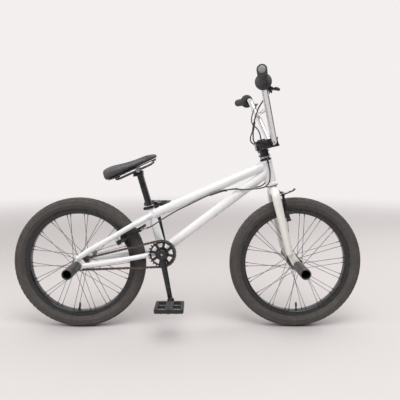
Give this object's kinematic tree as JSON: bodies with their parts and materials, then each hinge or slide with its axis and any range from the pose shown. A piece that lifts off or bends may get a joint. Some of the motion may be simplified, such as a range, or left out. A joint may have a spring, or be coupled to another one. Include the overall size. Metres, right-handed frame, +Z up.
{
  "type": "freestyle bicycle",
  "caption": "Small-wheeled freestyle bicycle with a rising handlebar, cable rotor, linear-pull brakes and axle pegs, ridden on streets and ramps.",
  "frame": {"origin": "on the ground, under the middle of the bicycle, halfway between the two axles", "axes": "+X points forward along the wheelbase, +Y to the rider's left, +Z up"},
  "size_m": [1.336, 0.7152, 0.9238],
  "materials": {
    "white_paint": "gloss white paint",
    "cream_paint": "gloss white paint, a little creamier than the frame",
    "chrome": "bright plated",
    "black_paint": "satin black",
    "black_alloy": "satin black anodised",
    "steel": "plain zinc grey",
    "dark_steel": "dark plated",
    "chain_steel": "oiled brown-black",
    "grip_rubber": "matt ribbed",
    "pad_rubber": "matt moulded",
    "tyre": "matt brown-black with a low tread",
    "cable_housing": "smooth black housing",
    "black_plastic": "moulded, satin",
    "vinyl": "dark grey grained vinyl"
  },
  "bodies": {
    "frame": {"frame": "white_paint", "upper_headset_cup": "black_paint", "lower_headset_cup": "black_paint", "seat_clamp": "steel", "bottom_bracket": "steel", "rear_axle": "steel", "rear_left_peg": "dark_steel", "rear_right_peg": "dark_steel", "rotor_lower_plate": "black_paint", "rotor_lower_cable": "cable_housing", "rear_brake_wire": "cable_housing", "chain": "chain_steel"},
    "steering": {"fork": "cream_paint", "stem_body": "black_paint", "stem_bar_clamp": "black_paint", "top_cap": "black_paint", "handlebar": "chrome", "right_grip": "grip_rubber", "left_grip": "grip_rubber", "right_lever_bracket": "black_alloy", "left_lever_bracket": "black_alloy", "rotor_upper_plate": "black_paint", "rotor_upper_cable": "cable_housing", "front_brake_cable": "cable_housing", "front_axle": "steel", "front_left_peg": "dark_steel", "front_right_peg": "dark_steel", "front_brake_wire": "cable_housing"},
    "front_wheel": {"front_tyre": "tyre", "front_rim": "black_alloy", "front_hub_and_spokes": "dark_steel"},
    "rear_wheel": {"rear_tyre": "tyre", "rear_rim": "black_alloy", "rear_hub_and_spokes": "dark_steel"},
    "driver": {"driver_cog": "steel"},
    "cranks": {"crank_spindle": "steel", "right_crank": "black_paint", "left_crank": "black_paint", "chainring": "black_paint"},
    "right_pedal": {"right_pedal": "black_plastic"},
    "left_pedal": {"left_pedal": "black_plastic"},
    "right_lever": {"right_lever_blade": "black_alloy"},
    "left_lever": {"left_lever_blade": "black_alloy"},
    "rear_right_arm": {"rear_right_brake_arm": "black_alloy", "rear_right_brake_pad": "pad_rubber", "rear_brake_pipe": "steel"},
    "rear_left_arm": {"rear_left_brake_arm": "black_alloy", "rear_left_brake_pad": "pad_rubber"},
    "front_right_arm": {"front_right_brake_arm": "black_alloy", "front_right_brake_pad": "pad_rubber", "front_brake_pipe": "steel"},
    "front_left_arm": {"front_left_brake_arm": "black_alloy", "front_left_brake_pad": "pad_rubber"},
    "upper_race": {"rotor_upper_race": "black_paint"},
    "lower_race": {"rotor_lower_race": "steel"},
    "seatpost": {"seatpost": "black_paint"},
    "saddle": {"saddle_cover": "vinyl", "saddle_base": "black_plastic", "saddle_rails": "steel", "saddle_clamp": "steel"}
  },
  "joints": [
    {"name": "steering_turn", "type": "hinge", "parent": "frame", "child": "steering", "pos_m": [0.3206, 0, 0.5525], "axis": [-0.2419, 0, 0.9703], "continuous": true},
    {"name": "front_wheel_spin", "type": "hinge", "parent": "steering", "child": "front_wheel", "pos_m": [0.415, 0, 0.253], "axis": [0, 1, 0], "continuous": true},
    {"name": "rear_wheel_spin", "type": "hinge", "parent": "frame", "child": "rear_wheel", "pos_m": [-0.415, 0, 0.253], "axis": [0, 1, 0], "continuous": true},
    {"name": "crank_spin", "type": "hinge", "parent": "frame", "child": "cranks", "pos_m": [-0.0957, 0, 0.297], "axis": [0, 1, 0], "continuous": true, "deforming": ["chain"]},
    {"name": "driver_spin", "type": "hinge", "parent": "frame", "child": "driver", "pos_m": [-0.415, 0, 0.253], "axis": [0, 1, 0], "continuous": true},
    {"name": "right_pedal_spin", "type": "hinge", "parent": "cranks", "child": "right_pedal", "pos_m": [-0.06231, -0.14, 0.12521], "axis": [0, 1, 0], "continuous": true},
    {"name": "left_pedal_spin", "type": "hinge", "parent": "cranks", "child": "left_pedal", "pos_m": [-0.12909, 0.14, 0.46879], "axis": [0, 1, 0], "continuous": true},
    {"name": "right_lever_pull", "type": "hinge", "parent": "steering", "child": "right_lever", "pos_m": [0.27578, -0.20611, 0.87506], "axis": [-0.6345, 0.0613, -0.7704], "range_deg": [0, 16], "stiffness_Nm_per_rad": 0.6, "springref_deg": -17.19},
    {"name": "left_lever_pull", "type": "hinge", "parent": "steering", "child": "left_lever", "pos_m": [0.27578, 0.20611, 0.87506], "axis": [0.6345, 0.0613, 0.7704], "range_deg": [0, 16], "stiffness_Nm_per_rad": 0.6, "springref_deg": -17.19},
    {"name": "rear_right_arm_squeeze", "type": "hinge", "parent": "frame", "child": "rear_right_arm", "pos_m": [-0.25932, -0.04, 0.3393], "axis": [-0.5, 0, 0.866], "range_deg": [0, 3.2]},
    {"name": "rear_left_arm_squeeze", "type": "hinge", "parent": "frame", "child": "rear_left_arm", "pos_m": [-0.25932, 0.04, 0.3393], "axis": [0.5, 0, -0.866], "range_deg": [0, 3.2], "deforming": ["rear_brake_wire"]},
    {"name": "front_right_arm_squeeze", "type": "hinge", "parent": "steering", "child": "front_right_arm", "pos_m": [0.37858, -0.04, 0.42741], "axis": [-0.9703, 0, -0.2419], "range_deg": [0, 3.2]},
    {"name": "front_left_arm_squeeze", "type": "hinge", "parent": "steering", "child": "front_left_arm", "pos_m": [0.37858, 0.04, 0.42741], "axis": [0.9703, 0, 0.2419], "range_deg": [0, 3.2], "deforming": ["front_brake_wire"]},
    {"name": "upper_race_lift", "type": "slide", "parent": "steering", "child": "upper_race", "axis": [-0.2419, 0, 0.9703], "range_m": [0, 0.008]},
    {"name": "lower_race_lift", "type": "slide", "parent": "frame", "child": "lower_race", "axis": [-0.2419, 0, 0.9703], "range_m": [0, 0.008]},
    {"name": "seatpost_height", "type": "slide", "parent": "frame", "child": "seatpost", "axis": [-0.2756, 0, 0.9613], "range_m": [-0.04, 0.05]},
    {"name": "saddle_tilt", "type": "hinge", "parent": "seatpost", "child": "saddle", "pos_m": [-0.18449, 0, 0.61107], "axis": [0, 1, 0], "range_deg": [-5, 20]}
  ],
  "couplings": [
    {"joint": "driver_spin", "follows": "crank_spin", "ratio": 2.7778},
    {"joint": "rear_right_arm_squeeze", "follows": "right_lever_pull", "ratio": 0.2},
    {"joint": "rear_left_arm_squeeze", "follows": "right_lever_pull", "ratio": 0.2},
    {"joint": "upper_race_lift", "follows": "right_lever_pull", "m_per_rad": 0.0285},
    {"joint": "lower_race_lift", "follows": "right_lever_pull", "m_per_rad": 0.0285},
    {"joint": "front_right_arm_squeeze", "follows": "left_lever_pull", "ratio": 0.2},
    {"joint": "front_left_arm_squeeze", "follows": "left_lever_pull", "ratio": 0.2}
  ]
}
